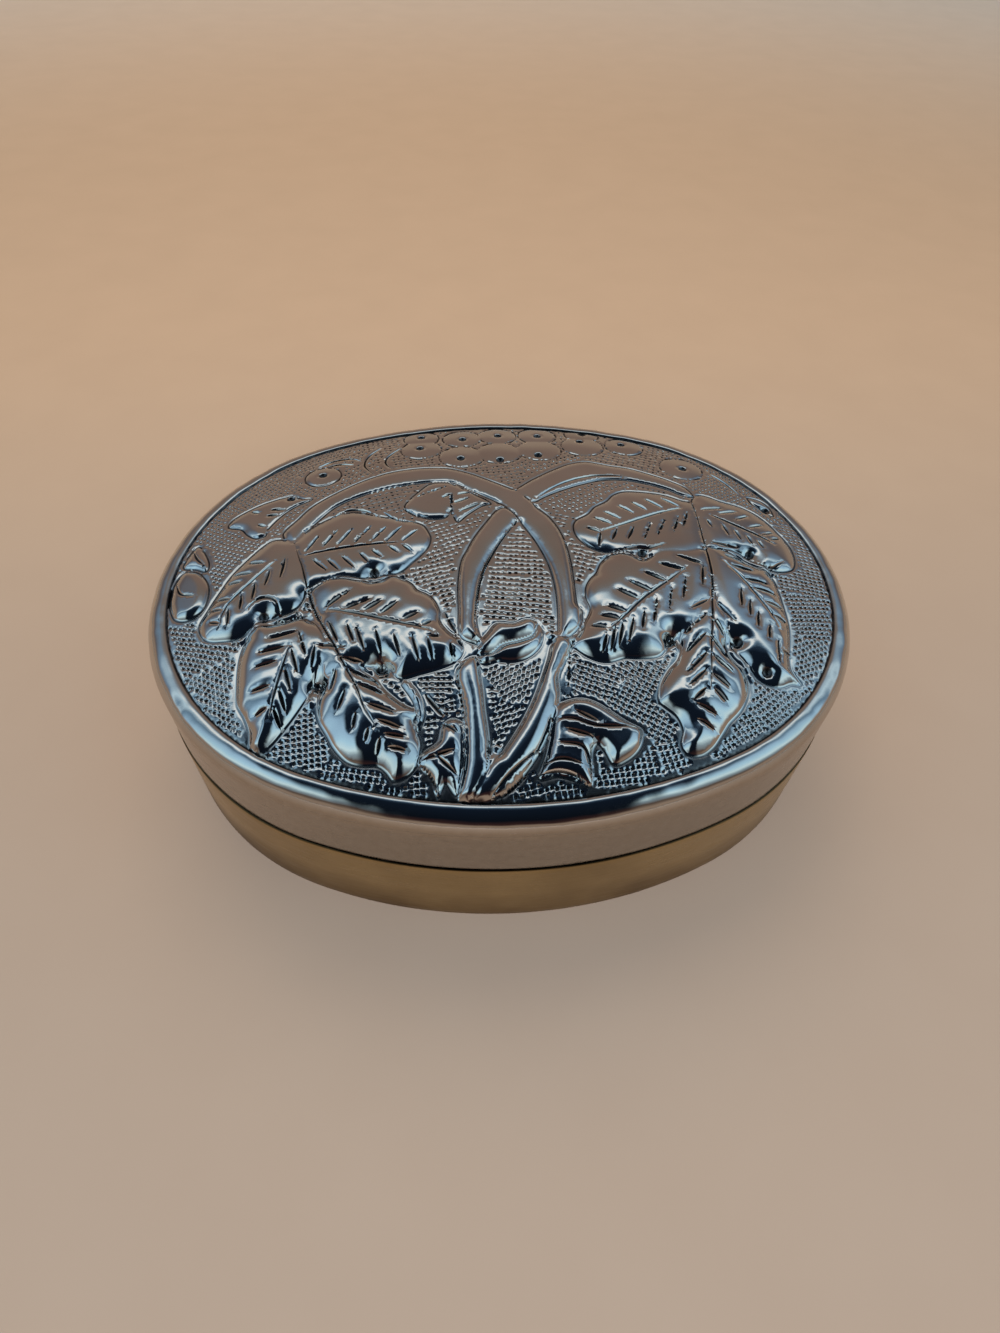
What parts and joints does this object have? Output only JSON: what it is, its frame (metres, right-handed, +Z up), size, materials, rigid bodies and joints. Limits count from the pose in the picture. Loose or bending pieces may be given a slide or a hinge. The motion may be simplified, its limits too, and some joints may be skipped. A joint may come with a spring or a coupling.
{
  "type": "trinket box",
  "caption": "Oval trinket box with a plain brass base and a domed silvery lid, embossed with vine leaves and grapes, that lifts off an inner collar.",
  "frame": {"origin": "centre of the underside of the base, on the surface the box stands on", "axes": "+X along the length of the oval, +Y towards the back, +Z up, the way the lid lifts"},
  "size_m": [0.1004, 0.0808, 0.0296],
  "materials": {
    "base_brass": "satin",
    "lid_silver": "polished"
  },
  "bodies": {
    "base": {"base_wall": "base_brass", "base_floor": "base_brass", "base_collar": "base_brass"},
    "lid": {"lid_band": "lid_silver", "lid_cover": "lid_silver"}
  },
  "joints": [
    {"name": "lid_lift", "type": "slide", "parent": "base", "child": "lid", "axis": [0, 0, 1], "range_m": [0, 0.04]}
  ]
}
